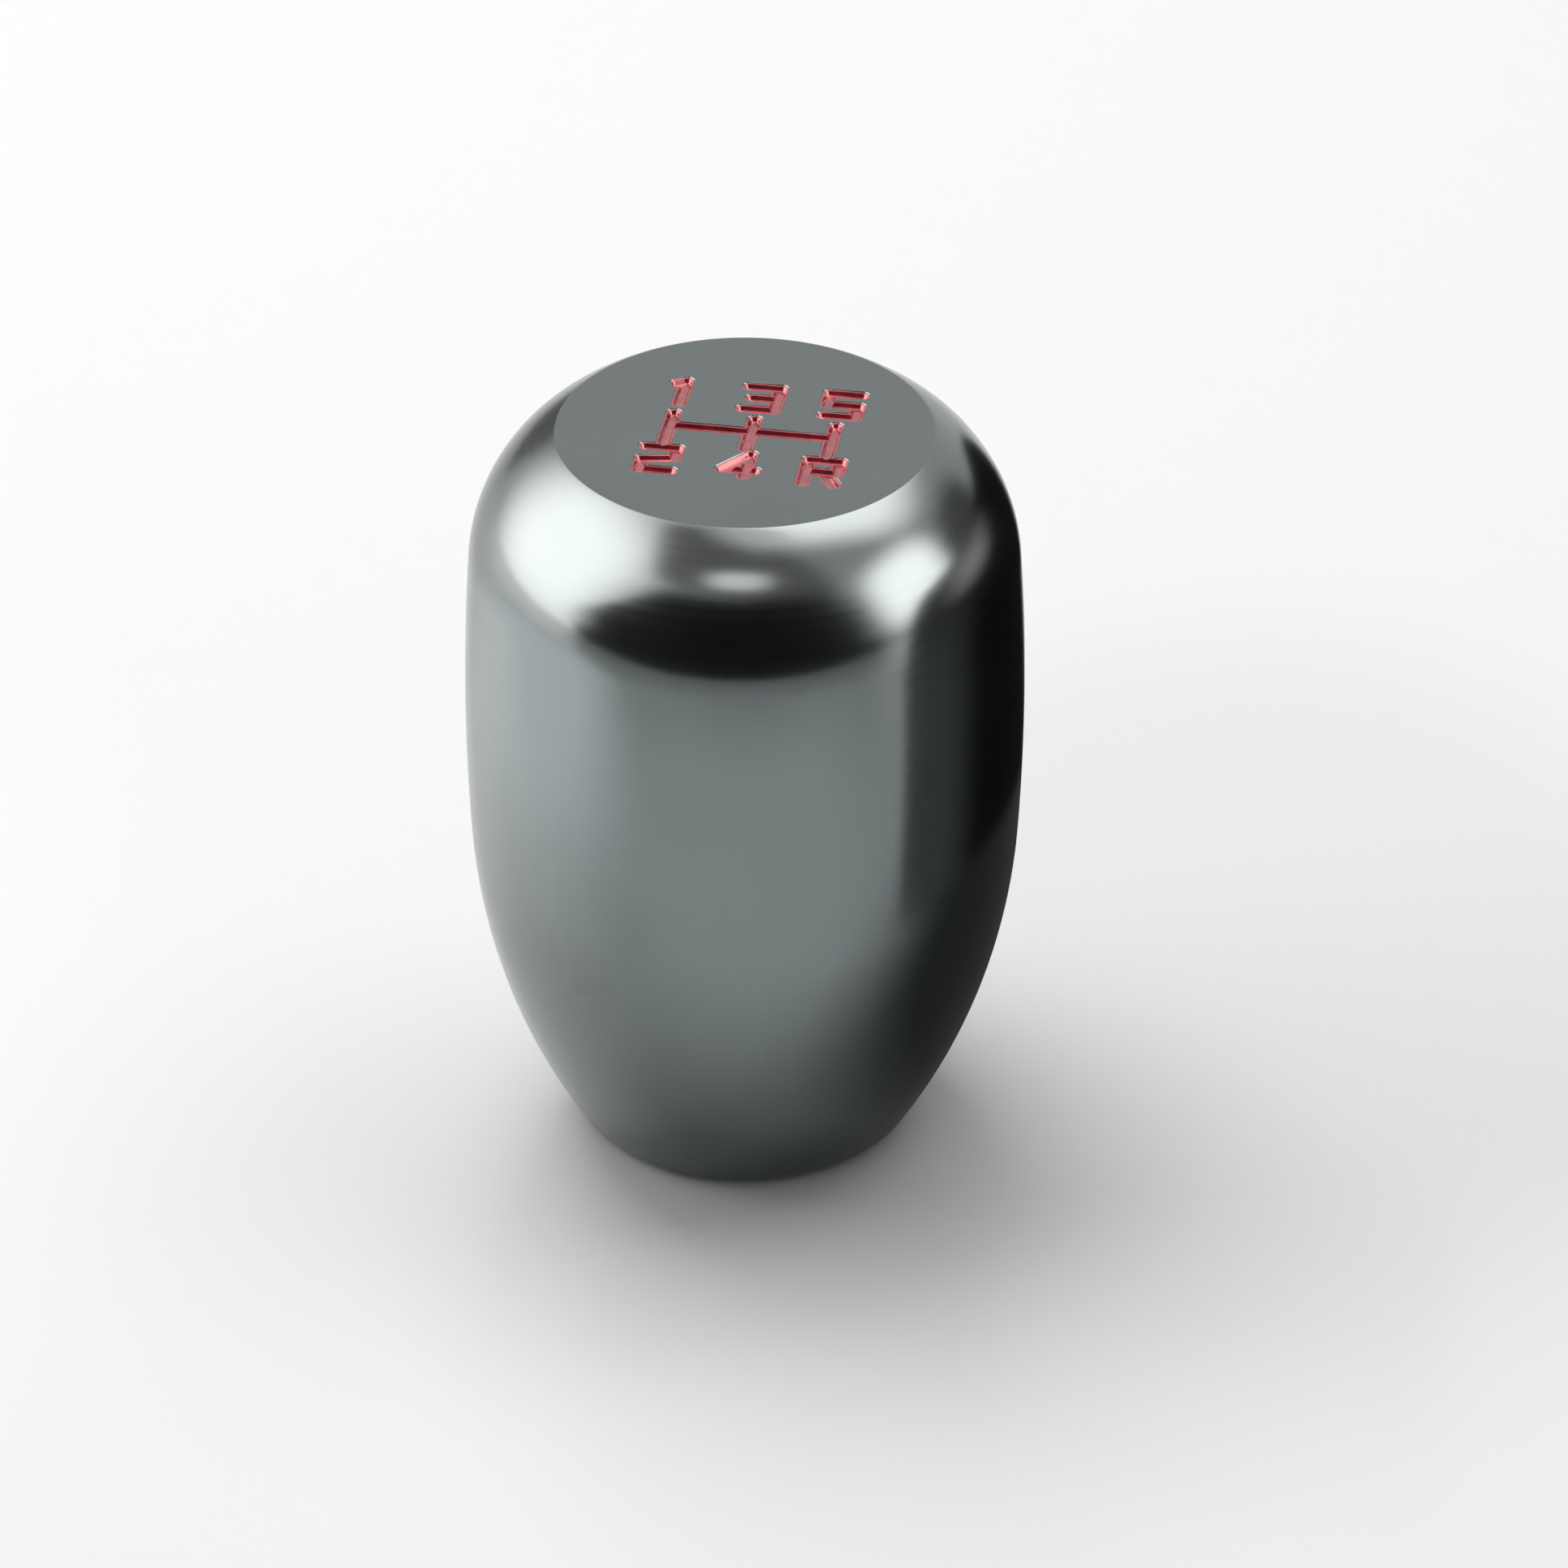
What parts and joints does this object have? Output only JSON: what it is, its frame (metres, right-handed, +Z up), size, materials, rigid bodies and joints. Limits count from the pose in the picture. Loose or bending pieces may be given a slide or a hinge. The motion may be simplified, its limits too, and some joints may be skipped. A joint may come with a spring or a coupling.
{
  "type": "gear shift knob",
  "caption": "Turned metal gear shift knob: barrel body tapering to a flat base with a threaded hole, flat top engraved with a shift pattern lined in red enamel.",
  "frame": {"origin": "centre of the flat base, on the knob's axis", "axes": "+Z up the shift lever's axis to the flat top, +Y forward towards the row of odd gears on the pattern, +X to the right as the pattern reads"},
  "size_m": [0.038, 0.038, 0.0535],
  "materials": {
    "anodised_aluminium": "turned, polished and anodised gunmetal grey, glossy",
    "red_enamel": "glossy red enamel laid in the engraved grooves"
  },
  "bodies": {
    "root": {"knob_body": "anodised_aluminium", "pattern_enamel": "red_enamel"}
  },
  "joints": []
}
